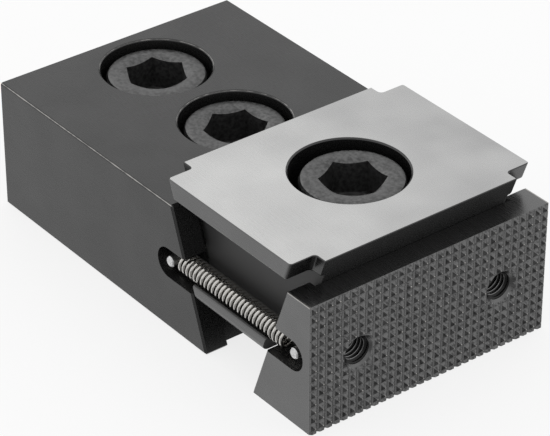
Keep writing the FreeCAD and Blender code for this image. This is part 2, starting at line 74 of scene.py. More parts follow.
# %% Camera
CAMERA_PLACE = Vector((354.01, -256.48, 279.99)) * MM
CAMERA_BACK = Vector((0.66511, -0.51484, 0.54089))
FOCAL_LENGTH_PIXELS = 2898.3
PHOTO_WIDTH_PIXELS = 550
SENSOR_WIDTH = 36.0


def add_object(name, data):
    """Puts a new object into the scene."""
    added = bpy.data.objects.new(name, data)
    bpy.context.scene.collection.objects.link(added)
    return added


camera_data = bpy.data.cameras.new("photo_camera")
camera_data.sensor_fit = "HORIZONTAL"
camera_data.sensor_width = SENSOR_WIDTH
camera_data.lens = FOCAL_LENGTH_PIXELS / PHOTO_WIDTH_PIXELS * SENSOR_WIDTH
camera_data.clip_start = 10 * MM
camera = add_object("photo_camera", camera_data)
camera.location = CAMERA_PLACE
camera.rotation_euler = CAMERA_BACK.to_track_quat("Z", "Y").to_euler()
bpy.context.scene.camera = camera
bpy.context.scene.view_settings.view_transform = "Standard"
print("lens in mm:", round(camera_data.lens, 1))

# %% [markdown]
# ## Colours and nodes
#
# Every material and every rule for a shape below is a tree of nodes. One helper adds a node, sets
# its options and joins its inputs, so that a tree reads as a list of what it is made of. Colours
# are written as the hex values that a colour picker shows, and turned to the linear light that the
# shaders work in.

# %% Helpers for colours and nodes
def linear(hex_colour):
    """An sRGB hex colour such as "#808080" as linear red, green, blue and alpha."""
    channels = [int(hex_colour[start:start + 2], 16) / 255 for start in (1, 3, 5)]
    return (*(c / 12.92 if c <= 0.04045 else ((c + 0.055) / 1.055) ** 2.4 for c in channels), 1.0)


def add_node(tree, kind, inputs=None, **options):
    """Adds a node. An input takes a value, another node's first output, or the output given."""
    node = tree.nodes.new(kind)
    for name, option in options.items():
        setattr(node, name, option)
    for socket, source in (inputs or {}).items():
        if isinstance(source, bpy.types.Node):
            source = source.outputs[0]
        if isinstance(source, bpy.types.NodeSocket):
            tree.links.new(source, node.inputs[socket])
        else:
            node.inputs[socket].default_value = source
    return node


def new_material(name):
    """A material with only its output, its shader and the object's own coordinates in metres."""
    material = bpy.data.materials.new(name)
    material.use_nodes = True
    tree = material.node_tree
    tree.nodes.clear()
    place = add_node(tree, "ShaderNodeTexCoord").outputs["Object"]
    shader = add_node(tree, "ShaderNodeBsdfPrincipled")
    add_node(tree, "ShaderNodeOutputMaterial", {"Surface": shader})
    return material, tree, place, shader


print("linear mid grey:", round(linear("#808080")[0], 3))

# %% [markdown]
# ## Blackened steel
#
# The body and the jaw are milled and ground blocks of tool steel with a black oxide skin. The skin
# is so thin that the steel still mirrors a little through it: that is why the top of the jaw, which
# faces the dark wedge, looks nearly black, while the open top of the body mirrors a bright room and
# looks mid grey. A fairly rough dark metal does the same. The bath leaves faint clouds about a
# centimetre across, and grinding leaves very fine lines that only show in the highlight. Handling
# rubs the skin off the middle of each broken edge, and a painted highlight is added there too. Both
# show as a thin lighter line along the top and round the rims of the two counterbores.

# %% Blackened steel, and the body's rubbed edges with a painted highlight
# Nearly all values of a noise texture lie in the wide range, and most lie in the narrow one.
NOISE_RANGE = {"From Min": 0.35, "From Max": 0.65}
WIDE_NOISE_RANGE = {"From Min": 0.3, "From Max": 0.7}
BLOCK_BEVEL = 0.35 * MM
RIM_BEVEL = 0.26 * MM
COUNTERBORE_RADIUS = 10.0 * MM
WORN_LIT_BORDER = 0.03 * MM


def rub_and_light_edges(tree, place, skin, gaps, bevel):
    """Lightens each bevel's middle, as wear and a painted highlight. A gap is a point's depth
    inside a face.
    """
    # A point lies on an edge where two gaps are small at once.
    edges = [
        add_node(tree, "ShaderNodeMath", {0: first, 1: second}, operation="MAXIMUM")
        for first, second in itertools.combinations(gaps, 2)
    ]
    nearest = edges[0]
    for edge in edges[1:]:
        nearest = add_node(tree, "ShaderNodeMath", {0: nearest, 1: edge}, operation="MINIMUM")

    # In the middle of a bevel both gaps are half its width, and at its borders one is all of it. So
    # a reach of a little over half marks a thin line of wear and painted highlight.
    patchy = add_node(
        tree, "ShaderNodeTexNoise", {"Vector": place, "Scale": 1 / (1.5 * MM), "Detail": 3.0}
    )
    reach = add_node(
        tree,
        "ShaderNodeMapRange",
        {"Value": patchy, **NOISE_RANGE, "To Min": 0.6 * bevel, "To Max": 0.74 * bevel},
    )
    past = add_node(tree, "ShaderNodeMath", {0: reach, 1: nearest}, operation="SUBTRACT")
    worn_and_lit = add_node(tree, "ShaderNodeMapRange", {"Value": past, "From Max": WORN_LIT_BORDER})
    # The light colour stands for rubbed steel and for a painted edge highlight.
    return add_node(
        tree, "ShaderNodeMix", {"Factor": worn_and_lit, 6: skin, 7: linear("#a4a29f")}, data_type="RGBA"
    ).outputs[2]


def blackened_steel(name, colour, cloud_colour):
    """Returns what new_material does, and the colour of the skin for a finish that adds to it."""
    material, tree, place, shader = new_material(name)
    clouds = add_node(
        tree, "ShaderNodeTexNoise", {"Vector": place, "Scale": 1 / (9 * MM), "Detail": 3.0}
    )
    share = add_node(tree, "ShaderNodeMapRange", {"Value": clouds, **NOISE_RANGE})
    skin = add_node(
        tree,
        "ShaderNodeMix",
        {"Factor": share, 6: linear(colour), 7: linear(cloud_colour)},
        data_type="RGBA",
    ).outputs[2]

    # Real grinding lines are about 0.02 mm apart. They are drawn 0.25 mm apart so that they show.
    # Squeezing X stretches them along the clamp.
    along = add_node(
        tree, "ShaderNodeVectorMath", {0: place, 1: (0.04, 1.0, 1.0)}, operation="MULTIPLY"
    )
    lines = add_node(
        tree, "ShaderNodeTexNoise", {"Vector": along, "Scale": 1 / (0.25 * MM), "Detail": 2.0}
    )
    polish = add_node(
        tree,
        "ShaderNodeMapRange",
        {"Value": lines, **WIDE_NOISE_RANGE, "To Min": 0.24, "To Max": 0.32},
    )
    grain = add_node(
        tree, "ShaderNodeTexNoise", {"Vector": place, "Scale": 1 / (0.12 * MM), "Detail": 1.0}
    )
    relief = add_node(tree, "ShaderNodeBump", {"Height": grain, "Distance": 0.002 * MM})
    for socket, source in (
        ("Base Color", skin), ("Roughness", polish.outputs[0]), ("Normal", relief.outputs[0])
    ):
        tree.links.new(source, shader.inputs[socket])
    shader.inputs["Metallic"].default_value = 0.85
    return material, tree, place, shader, skin


def body_steel_with_rubbed_lit_edges():
    """The top edges and the rims of the counterbores are found by the gaps to their faces."""
    material, tree, place, shader, skin = blackened_steel(
        "blackened_tool_steel", "#494949", "#454545"
    )
    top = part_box("fixed_body")[1]
    parts = add_node(tree, "ShaderNodeSeparateXYZ", {"Vector": place}).outputs
    outwards = add_node(tree, "ShaderNodeMath", {0: parts["Y"]}, operation="ABSOLUTE")
    side_gap, height_gap = (
        add_node(tree, "ShaderNodeMath", {0: limit, 1: coordinate}, operation="SUBTRACT")
        for coordinate, limit in ((outwards, top.y), (parts["Z"], top.z))
    )
    skin = rub_and_light_edges(tree, place, skin, (side_gap, height_gap), BLOCK_BEVEL)

    # The counterbores stand at the same distance on both sides of the origin, along X.
    bore_low, bore_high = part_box("mounting_screw_front")
    bore_middle = ((bore_low.x + bore_high.x) / 2, 0.0, 0.0)
    along = add_node(tree, "ShaderNodeMath", {0: parts["X"]}, operation="ABSOLUTE")
    flat = add_node(tree, "ShaderNodeCombineXYZ", {"X": along, "Y": parts["Y"]})
    radius = add_node(
        tree, "ShaderNodeVectorMath", {0: flat, 1: bore_middle}, operation="DISTANCE"
    ).outputs["Value"]
    rim_gap = add_node(
        tree, "ShaderNodeMath", {0: radius, 1: COUNTERBORE_RADIUS}, operation="SUBTRACT"
    )
    skin = rub_and_light_edges(tree, place, skin, (rim_gap, height_gap), RIM_BEVEL)
    tree.links.new(skin, shader.inputs["Base Color"])
    return material


body_steel = body_steel_with_rubbed_lit_edges()
print("made", body_steel.name)

# %% [markdown]
# ## The jaw's worn points, with a painted highlight
#
# The jaw is blackened like the body, but lighter. Its front is cut into small pyramids whose points
# bite into the workpiece, and the skin is rubbed off the very tips, which carry a painted highlight
# as well. The pyramids are real geometry in the solid. The material only has to know how far
# forward a point lies: the last tenth of a millimetre is bare steel with a painted highlight, and
# the flanks down to the bottom of the grooves are scuffed darker in specks half a millimetre
# across. A light strip along the foot of the upright grooves' flanks is a painted highlight, which
# the material finds by counting the columns across the face and by the flanks facing sideways.

# %% Blackened steel of the jaw, bare and with a painted highlight at the points of its face
JAW_FACE_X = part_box("clamping_jaw")[1].x
JAW_COLUMNS = 31
FACE_DEPTH = 0.9 * MM
FACE_BORDER = 0.2 * MM
SHORTEST_WORN_LIT_TIP = 0.05 * MM
LONGEST_WORN_LIT_TIP = 0.16 * MM
# The painted highlight strip at the foot of a flank is measured in columns.
HIGHLIGHT_STRIP_WIDTH = 0.11
HIGHLIGHT_STRIP_BORDER = 0.06


def jaw_steel_with_worn_lit_points():
    """Rubs the edges, scuffs the face, lightens its grooves and bares its tips, in this order; each
    lighter mark is also a painted highlight.
    """
    material, tree, place, shader, skin = blackened_steel(
        "blackened_jaw_steel_worn_lit_points", "#6c6c6c", "#686868"
    )
    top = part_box("clamping_jaw")[1]
    parts = add_node(tree, "ShaderNodeSeparateXYZ", {"Vector": place}).outputs
    forward = parts["X"]
    outwards = add_node(tree, "ShaderNodeMath", {0: parts["Y"]}, operation="ABSOLUTE")
    gaps = [
        add_node(tree, "ShaderNodeMath", {0: limit, 1: coordinate}, operation="SUBTRACT")
        for coordinate, limit in ((forward, top.x), (outwards, top.y), (parts["Z"], top.z))
    ]
    skin = rub_and_light_edges(tree, place, skin, gaps, BLOCK_BEVEL)

    face_start = JAW_FACE_X - FACE_DEPTH
    on_face = add_node(
        tree,
        "ShaderNodeMapRange",
        {"Value": forward, "From Min": face_start, "From Max": face_start + FACE_BORDER},
    )
    specks = add_node(
        tree, "ShaderNodeTexNoise", {"Vector": place, "Scale": 1 / (0.5 * MM), "Detail": 2.0}
    )
    scuffed = add_node(
        tree, "ShaderNodeMapRange", {"Value": specks, "From Min": 0.45, "From Max": 0.65}
    )
    scuffed = add_node(tree, "ShaderNodeMath", {0: scuffed, 1: on_face}, operation="MULTIPLY")
    skin = add_node(
        tree, "ShaderNodeMix", {"Factor": scuffed, 6: skin, 7: linear("#484848")}, data_type="RGBA"
    ).outputs[2]

    # The bottoms of the upright grooves lie at whole columns, and only their flanks face sideways.
    column = add_node(tree, "ShaderNodeMath", {0: parts["Y"], 1: top.y})
    column = add_node(
        tree, "ShaderNodeMath", {0: column, 1: 2 * top.y / JAW_COLUMNS}, operation="DIVIDE"
    )
    from_groove = add_node(tree, "ShaderNodeMath", {0: column, 1: 0.5}, operation="PINGPONG")
    foot = add_node(
        tree,
        "ShaderNodeMapRange",
        {"Value": from_groove, "From Min": HIGHLIGHT_STRIP_WIDTH + HIGHLIGHT_STRIP_BORDER, "From Max": HIGHLIGHT_STRIP_WIDTH},
    )
    facing = add_node(
        tree,
        "ShaderNodeSeparateXYZ",
        {"Vector": tree.nodes["Texture Coordinate"].outputs["Normal"]},
    ).outputs["Y"]
    sideways = add_node(tree, "ShaderNodeMath", {0: facing}, operation="ABSOLUTE")
    flank = add_node(
        tree, "ShaderNodeMapRange", {"Value": sideways, "From Min": 0.3, "From Max": 0.4}
    )
    # The light strip at the foot of the sideways flanks is a painted highlight.
    groove_highlight = add_node(tree, "ShaderNodeMath", {0: foot, 1: flank}, operation="MULTIPLY")
    groove_highlight = add_node(tree, "ShaderNodeMath", {0: groove_highlight, 1: on_face}, operation="MULTIPLY")
    skin = add_node(
        tree, "ShaderNodeMix", {"Factor": groove_highlight, 6: skin, 7: linear("#a8a8a8")}, data_type="RGBA"
    ).outputs[2]

    tip_noise = add_node(tree, "ShaderNodeTexNoise", {"Vector": place, "Scale": 1 / (3 * MM)})
    worn_lit_from = add_node(
        tree,
        "ShaderNodeMapRange",
        {
            "Value": tip_noise,
            **WIDE_NOISE_RANGE,
            "To Min": JAW_FACE_X - SHORTEST_WORN_LIT_TIP,
            "To Max": JAW_FACE_X - LONGEST_WORN_LIT_TIP,
        },
    )
    past = add_node(tree, "ShaderNodeMath", {0: forward, 1: worn_lit_from}, operation="SUBTRACT")
    worn_lit_tips = add_node(tree, "ShaderNodeMapRange", {"Value": past, "From Max": WORN_LIT_BORDER})
    # The bare tips are worn steel with a painted highlight.
    colour = add_node(
        tree, "ShaderNodeMix", {"Factor": worn_lit_tips, 6: skin, 7: linear("#aeaca9")}, data_type="RGBA"
    )
    tree.links.new(colour.outputs[2], shader.inputs["Base Color"])
    shader.inputs["Metallic"].default_value = 0.97
    return material


jaw_steel = jaw_steel_with_worn_lit_points()
print("made", jaw_steel.name, "for a face at x =", round(JAW_FACE_X / MM, 2), "mm")

# %% [markdown]
# ## The wedge
#
# The wedge is blackened too, and its top is ground flat after the bath, so bare bright steel lies
# on top and the black skin starts at its edges. One material does both by height. The bright top
# shows soft clouds and is painted a little darker towards the far side as painted shade, and the
# grinding lines run along the clamp. Everywhere between the outer sides the skin is painted darker,
# as painted shade for the recesses and channels under the flanges. In the channels it is matt as
# well. They lie below the flanges, between the outer sides and the guides in the middle.

# %% Wedge steel, bright on top
WEDGE_TOP_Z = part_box("wedge")[1].z
WEDGE_SIDE_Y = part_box("wedge")[1].y
GUIDE_SIDE_Y = WEDGE_SIDE_Y - 5.9 * MM
CHANNEL_TOP_Z = WEDGE_TOP_Z - 3.7 * MM
CHANNEL_TOP_BORDER = 0.3 * MM
SIDE_BORDER = 0.1 * MM
TOP_BORDER = 0.03 * MM
PAINTED_SHADE_AT_FAR_SIDE = 0.3


def wedge_steel_with_ground_top():
    """Darkens the skin inside the outer sides as painted shade, dulls it in the channels, adds the
    ground top.
    """
    material, tree, place, shader, skin = blackened_steel(
        "blackened_wedge_steel_ground_top", "#686868", "#646464"
    )
    parts = add_node(tree, "ShaderNodeSeparateXYZ", {"Vector": place}).outputs
    height = parts["Z"]
    outwards = add_node(tree, "ShaderNodeMath", {0: parts["Y"]}, operation="ABSOLUTE")
    inside, below, beside_guides, on_top = (
        add_node(
            tree, "ShaderNodeMapRange", {"Value": coordinate, "From Min": start, "From Max": full}
        )
        for coordinate, start, full in (
            (outwards, WEDGE_SIDE_Y - SIDE_BORDER, WEDGE_SIDE_Y - 2 * SIDE_BORDER),
            (height, CHANNEL_TOP_Z + CHANNEL_TOP_BORDER, CHANNEL_TOP_Z),
            (outwards, GUIDE_SIDE_Y - SIDE_BORDER, GUIDE_SIDE_Y),
            (height, WEDGE_TOP_Z - 2 * TOP_BORDER, WEDGE_TOP_Z - TOP_BORDER),
        )
    )
    # Between the outer sides the skin gets a painted shade.
    skin = add_node(
        tree, "ShaderNodeMix", {"Factor": inside, 6: skin, 7: linear("#484848")}, data_type="RGBA"
    ).outputs[2]
    matt = add_node(tree, "ShaderNodeMath", {0: inside, 1: below}, operation="MULTIPLY")
    matt = add_node(tree, "ShaderNodeMath", {0: matt, 1: beside_guides}, operation="MULTIPLY")
    polish = shader.inputs["Roughness"].links[0].from_socket
    for socket, elsewhere, in_channel in (("Roughness", polish, 0.6), ("Metallic", 0.9, 0.3)):
        mixed = add_node(tree, "ShaderNodeMix", {"Factor": matt, 2: elsewhere, 3: in_channel})
        tree.links.new(mixed.outputs[0], shader.inputs[socket])

    clouds = add_node(tree, "ShaderNodeTexNoise", {"Vector": place, "Scale": 1 / (14 * MM)})
    # The top is painted darker towards the far side: painted shade.
    far = add_node(
        tree,
        "ShaderNodeMath",
        {0: parts["Y"], 1: PAINTED_SHADE_AT_FAR_SIDE / WEDGE_SIDE_Y},
        operation="MULTIPLY",
    )
    clouds_and_far_shade = add_node(tree, "ShaderNodeMath", {0: clouds, 1: far})
    share = add_node(
        tree, "ShaderNodeMapRange", {"Value": clouds_and_far_shade, "From Min": 0.1, "From Max": 0.9}
    )
    bright = add_node(
        tree,
        "ShaderNodeMix",
        {"Factor": share, 6: linear("#cccccb"), 7: linear("#a9a9a9")},
        data_type="RGBA",
    ).outputs[2]
    colour = add_node(
        tree, "ShaderNodeMix", {"Factor": on_top, 6: skin, 7: bright}, data_type="RGBA"
    )
    tree.links.new(colour.outputs[2], shader.inputs["Base Color"])
    return material


wedge_steel = wedge_steel_with_ground_top()
print("made", wedge_steel.name, "for a top at z =", round(WEDGE_TOP_Z / MM, 2), "mm")

# %% [markdown]
# ## Screws, springs, pins and the washer
#
# The screws are alloy steel with a black oxide skin over a forged, slightly mottled surface. The
# springs are drawn stainless wire, the brightest and smoothest metal here. The pins are bright
# steel cut to length, so their ends show a coarse, matt cut. The washer is hardened and plain. They
# differ in colour, in how polished they are, and in the size and depth of their grain, so one
# function makes all four.

# %% Steel of the small parts
def small_part_steel(name, colours, grain_size, grain_depth, roughness, metallic):
    """The grain turns the first colour and the first roughness into the second ones."""
    material, tree, place, shader = new_material(name)
    grain = add_node(
        tree, "ShaderNodeTexNoise", {"Vector": place, "Scale": 1 / grain_size, "Detail": 3.0}
    )
    share = add_node(tree, "ShaderNodeMapRange", {"Value": grain, **NOISE_RANGE})
    skin = add_node(
        tree,
        "ShaderNodeMix",
        {"Factor": share, 6: linear(colours[0]), 7: linear(colours[1])},
        data_type="RGBA",
    ).outputs[2]
    polish = add_node(
        tree, "ShaderNodeMapRange", {"Value": share, "To Min": roughness[0], "To Max": roughness[1]}
    ).outputs[0]
    relief = add_node(tree, "ShaderNodeBump", {"Height": grain, "Distance": grain_depth}).outputs[0]
    for socket, source in (("Base Color", skin), ("Roughness", polish), ("Normal", relief)):
        tree.links.new(source, shader.inputs[socket])
    shader.inputs["Metallic"].default_value = metallic
    return material


screw_steel = small_part_steel(
    "black_oxide_screw_steel",
    colours=("#484848", "#666666"),
    grain_size=0.6 * MM,
    grain_depth=0.008 * MM,
    roughness=(0.32, 0.46),
    metallic=0.85,
)
spring_steel = small_part_steel(
    "drawn_stainless_wire",
    colours=("#d6d4d0", "#c6c4c0"),
    grain_size=0.4 * MM,
    grain_depth=0.0005 * MM,
    roughness=(0.05, 0.09),
    metallic=1.0,
)
pin_steel = small_part_steel(
    "cut_bright_steel_pin",
    colours=("#dedede", "#b9b9b9"),
    grain_size=0.3 * MM,
    grain_depth=0.012 * MM,
    roughness=(0.3, 0.4),
    metallic=1.0,
)
washer_steel = small_part_steel(
    "hardened_steel_washer",
    colours=("#a5a5a3", "#969694"),
    grain_size=0.8 * MM,
    grain_depth=0.003 * MM,
    roughness=(0.28, 0.34),
    metallic=1.0,
)
print("made", screw_steel.name, spring_steel.name, pin_steel.name, washer_steel.name)

# %% [markdown]
# ## Finishes onto the solids
#
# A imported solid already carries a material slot. Putting a material in that slot changes how the
# solid looks and nothing else. The springs and the screws aren't dressed here, because pieces made
# further down take their places.

# %% Dress the solids that stay
SOLID_FINISHES = {
    "fixed_body": body_steel,
    "clamping_jaw": jaw_steel,
    "wedge": wedge_steel,
    "clamping_washer": washer_steel,
    "body_pin_left": pin_steel,
    "body_pin_right": pin_steel,
    "jaw_pin_left": pin_steel,
    "jaw_pin_right": pin_steel,
}
for node_name, finish in SOLID_FINISHES.items():
    slots = nodes[node_name].data.materials
    slots.clear()
    slots.append(finish)
print("dressed", len(SOLID_FINISHES), "solids")

# %% [markdown]
# ## Shapes that follow a rule
#
# A spring is a round wire that follows a helix, and a thread is a small ridge that follows one.
# Both are best written as rules, so Geometry Nodes make them: each tree below has its sizes as
# named inputs. A tree runs on an empty object for each piece, its result is kept as a plain mesh,
# and the modifier goes away with the empty object. The helpers here open a tree, close it, run it,
# and turn a mesh into a piece with a material slot.

# %% Helpers for the shape trees
# Edges that bend by more than this stay sharp, on swept curves and on turned parts.
SHARP_CURVE_ANGLE = math.radians(35)
SHARP_TURNED_ANGLE = math.radians(30)


def open_shape_tree(name, sizes):
    """A new tree with a number input for each named size, and one input for the material."""
    tree = bpy.data.node_groups.new(name, "GeometryNodeTree")
    for size_name in sizes:
        tree.interface.new_socket(size_name, in_out="INPUT", socket_type="NodeSocketFloat")
    tree.interface.new_socket("Material", in_out="INPUT", socket_type="NodeSocketMaterial")
    tree.interface.new_socket("Geometry", in_out="OUTPUT", socket_type="NodeSocketGeometry")
    return tree, add_node(tree, "NodeGroupInput").outputs


def close_shape_tree(tree, geometry, given):
    """Gives the geometry its material and hands it out of the tree."""
    real = add_node(tree, "GeometryNodeRealizeInstances", {0: geometry})
    painted = add_node(
        tree, "GeometryNodeSetMaterial", {"Geometry": real, "Material": given["Material"]}
    )
    add_node(tree, "NodeGroupOutput", {0: painted})


def grow(tree, material, sizes):
    """Runs a tree with these sizes and returns what it makes as a plain mesh."""
    seed = add_object("seed", bpy.data.meshes.new("seed"))
    modifier = seed.modifiers.new("shape", "NODES")
    modifier.node_group = tree
    values = {**sizes, "Material": material}
    for socket in tree.interface.items_tree:
        if socket.in_out == "INPUT":
            modifier[socket.identifier] = values[socket.name]
    evaluated = seed.evaluated_get(bpy.context.evaluated_depsgraph_get())
    mesh = bpy.data.meshes.new_from_object(evaluated)
    bpy.data.objects.remove(seed)
    mesh.shade_smooth()
    mesh.set_sharp_from_angle(angle=SHARP_CURVE_ANGLE)
    return mesh


def mesh_of(shape, name, material):
    """Turns a bmesh into a mesh with one material and crisp edges."""
    mesh = bpy.data.meshes.new(name)
    shape.to_mesh(mesh)
    shape.free()
    mesh.materials.append(material)
    mesh.shade_smooth()
    mesh.set_sharp_from_angle(angle=SHARP_TURNED_ANGLE)
    return mesh


def new_piece(name, mesh):
    """Puts a mesh into the scene as a new object."""
    piece = add_object(name, mesh)
    return piece


print("helpers for shape trees are ready")

# %% [markdown]
# ## The coil springs
#
# Each extension spring is one wire: 28 turns with air between them, since it is already stretched,
# and at each end a loop that goes round the far side of its pin. The turns begin right beside the
# body's pin and end well before the jaw's. The helix, the loops and the straights between them are
# curves, and one round section is swept along them all. The spring is made along X about the middle
# between its two pins. The photo's springs are wound left-handed, which is how a spiral turns when
# nothing else is asked for.

# %% The rule for a coil spring
SPRING_SIZES = (
    "Turns", "Coil Radius", "Wire Radius", "Coil Start", "Coil End", "Loop Distance", "Loop Angle"
)


def coil_spring_tree():
    """Coil Start and Coil End are places along X. Loop Distance is how far out the loops lie."""
    tree, given = open_shape_tree("coil_spring", SPRING_SIZES)
    coil_length = add_node(
        tree, "ShaderNodeMath", {0: given["Coil End"], 1: given["Coil Start"]}, operation="SUBTRACT"
    )
    coil = add_node(
        tree,
        "GeometryNodeCurveSpiral",
        {
            "Resolution": 26,
            "Rotations": given["Turns"],
            "Start Radius": given["Coil Radius"],
            "End Radius": given["Coil Radius"],
            "Height": coil_length,
        },
    )
    coil = add_node(
        tree,
        "GeometryNodeTransform",
        {
            "Geometry": coil,
            "Translation": add_node(tree, "ShaderNodeCombineXYZ", {"X": given["Coil End"]}),
            "Rotation": (0, math.radians(-90), 0),
        },
    )
    wires = add_node(tree, "GeometryNodeJoinGeometry", {0: coil})

    # A loop stands upright, from its top round the far side of its pin.
    loop = add_node(
        tree,
        "GeometryNodeCurveArc",
        {
            "Resolution": 20,
            "Radius": given["Coil Radius"],
            "Start Angle": math.radians(90),
            "Sweep Angle": given["Loop Angle"],
        },
    )
    loop_middle = add_node(tree, "ShaderNodeCombineXYZ", {"X": given["Loop Distance"]})
    loop = add_node(
        tree,
        "GeometryNodeTransform",
        {"Geometry": loop, "Translation": loop_middle, "Rotation": (math.radians(90), 0, 0)},
    )
    other_loop = add_node(
        tree, "GeometryNodeTransform", {"Geometry": loop, "Rotation": (0, 0, math.radians(180))}
    )
    for hook in (loop, other_loop):
        tree.links.new(hook.outputs[0], wires.inputs[0])

    # The straights run from the top of the coil to the top of each loop.
    for coil_edge, side in ((given["Coil End"], 1), (given["Coil Start"], -1)):
        loop_top = add_node(
            tree, "ShaderNodeMath", {0: given["Loop Distance"], 1: side}, operation="MULTIPLY"
        )
        ends = {
            end_name: add_node(tree, "ShaderNodeCombineXYZ", {"X": x, "Z": given["Coil Radius"]})
            for end_name, x in (("Start", coil_edge), ("End", loop_top))
        }
        straight = add_node(tree, "GeometryNodeCurvePrimitiveLine", ends)
        tree.links.new(straight.outputs[0], wires.inputs[0])
    section = add_node(
        tree,
        "GeometryNodeCurvePrimitiveCircle",
        {"Resolution": 12, "Radius": given["Wire Radius"]},
    )
    wire = add_node(
        tree,
        "GeometryNodeCurveToMesh",
        {"Curve": wires, "Profile Curve": section, "Fill Caps": True},
    )
    close_shape_tree(tree, wire, given)
    return tree


spring_tree = coil_spring_tree()
print("spring rule:", len(spring_tree.nodes), "nodes")

# %% [markdown]
# Each spring is grown about the middle of its two pins, and the solid that stood for it is hidden.

# %% Both springs, between their pins
SPRING_TURNS = 28.0
COIL_RADIUS = 1.69 * MM
WIRE_RADIUS = 0.31 * MM
PIN_RADIUS = 1.0 * MM
BODY_SETBACK = 1.35 * MM
JAW_SETBACK = 3.75 * MM
LOOP_CLEARANCE = 0.02 * MM
LOOP_ANGLE = math.radians(-240)
# The photo's springs lie this much further out than the solids that stand for them.
SPRING_SHIFT = 0.25 * MM


def middle_of(node_name):
    """The middle of a solid's box."""
    low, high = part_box(node_name)
    return (low + high) / 2


for side in ("left", "right"):
    body_pin = middle_of(f"body_pin_{side}")
    jaw_pin = middle_of(f"jaw_pin_{side}")
    half_span = (jaw_pin.x - body_pin.x) / 2
    coil_start = BODY_SETBACK - half_span
    coil_end = half_span - JAW_SETBACK
    spring_mesh = grow(
        spring_tree,
        spring_steel,
        {
            "Turns": SPRING_TURNS,
            "Coil Radius": COIL_RADIUS,
            "Wire Radius": WIRE_RADIUS,
            "Coil Start": coil_start,
            "Coil End": coil_end,
            "Loop Distance": half_span + PIN_RADIUS + LOOP_CLEARANCE + WIRE_RADIUS - COIL_RADIUS,
            "Loop Angle": LOOP_ANGLE,
        },
    )
    outwards = math.copysign(SPRING_SHIFT, body_pin.y)
    centre = Vector(
        ((body_pin.x + jaw_pin.x) / 2, middle_of(f"spring_{side}").y + outwards, body_pin.z)
    )
    spring_mesh.transform(Matrix.Translation(centre))
    spring = new_piece(f"coil_spring_{side}", spring_mesh)
    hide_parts(f"spring_{side}")
    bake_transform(spring)
    print(spring.name, "has", len(spring_mesh.polygons), "faces")

# %% [markdown]
# ## Threads
#
# A thread is a ridge with straight flanks, 60 degrees apart, that climbs by its pitch each turn. On
# a screw it stands outwards from the core, and in a tapped hole it stands inwards from the wall. So
# one rule makes both: a trapezoid swept along a helix, tapering away at its two ends. CAD has both
# as plain cylinders at the thread's outer diameter, so the screw's core is thinner here, and the
# jaw's holes get their ridges inside. A right-hand helix turns against the clock as it climbs,
# which is what Reverse means on a spiral.

# %% The rule for a thread's ridge
THREAD_SIZES = (
    "Base Radius", "Ridge Height", "Root Width", "Crest Width", "Outwards", "Turns", "Length",
    "Fade",
)
# The share of the ridge's height that is sunk into the core or the wall, so that the two join.
SUNK_SHARE = 0.05
# The widths of the root and the crest as shares of the pitch.
ROOT_SHARE = 0.96
CREST_SHARE = 1 / 8
# How small the ridge is at its very ends.
FADED_SCALE = 0.02


def thread_tree():
    """Outwards is 1 for a screw's ridge and -1 for one in a hole. Fade is a share of the length."""
    tree, given = open_shape_tree("thread_ridge", THREAD_SIZES)
    helix = add_node(
        tree,
        "GeometryNodeCurveSpiral",
        {
            "Resolution": 40,
            "Rotations": given["Turns"],
            "Start Radius": given["Base Radius"],
            "End Radius": given["Base Radius"],
            "Height": given["Length"],
            "Reverse": True,
        },
    )
    helix = add_node(tree, "GeometryNodeSetCurveNormal", {"Curve": helix}, mode="Z_UP")
    along = add_node(tree, "GeometryNodeSplineParameter").outputs["Factor"]
    from_end = add_node(tree, "ShaderNodeMath", {0: along, 1: 0.5}, operation="PINGPONG")
    taper = add_node(
        tree,
        "ShaderNodeMapRange",
        {"Value": from_end, "From Max": given["Fade"], "To Min": FADED_SCALE},
    )

    # The trapezoid's height lies along Y and its middle on the helix. A quarter turn points it away
    # from the core or the wall, and a shift of nearly half its height leaves the root sunk.
    section = add_node(
        tree,
        "GeometryNodeCurvePrimitiveQuadrilateral",
        {
            "Height": given["Ridge Height"],
            "Bottom Width": given["Root Width"],
            "Top Width": given["Crest Width"],
            "Offset": 0.0,
        },
        mode="TRAPEZOID",
    )
    shift = add_node(
        tree,
        "ShaderNodeMath",
        {0: given["Ridge Height"], 1: 0.5 - SUNK_SHARE},
        operation="MULTIPLY",
    )
    shift = add_node(tree, "ShaderNodeMath", {0: shift, 1: given["Outwards"]}, operation="MULTIPLY")
    quarter_turn = add_node(
        tree, "ShaderNodeMath", {0: given["Outwards"], 1: math.radians(-90)}, operation="MULTIPLY"
    )
    section = add_node(
        tree,
        "GeometryNodeTransform",
        {
            "Geometry": section,
            "Translation": add_node(tree, "ShaderNodeCombineXYZ", {"X": shift}),
            "Rotation": add_node(tree, "ShaderNodeCombineXYZ", {"Z": quarter_turn}),
        },
    )
    ridge = add_node(
        tree,
        "GeometryNodeCurveToMesh",
        {"Curve": helix, "Profile Curve": section, "Scale": taper, "Fill Caps": True},
    )
    close_shape_tree(tree, ridge, given)
    return tree


ridge_tree = thread_tree()


def thread_ridge(material, outer_radius, pitch, length, depth, outwards):
    """A ridge that starts at z = 0 and climbs. depth is how high it stands."""
    return grow(
        ridge_tree,
        material,
        {
            "Base Radius": outer_radius - depth if outwards > 0 else outer_radius,
            "Ridge Height": depth * (1 + SUNK_SHARE),
            "Root Width": pitch * ROOT_SHARE,
            "Crest Width": pitch * CREST_SHARE,
            "Outwards": outwards,
            "Turns": length / pitch,
            "Length": length,
            "Fade": pitch / length,
        },
    )


print("thread rule:", len(ridge_tree.nodes), "nodes")

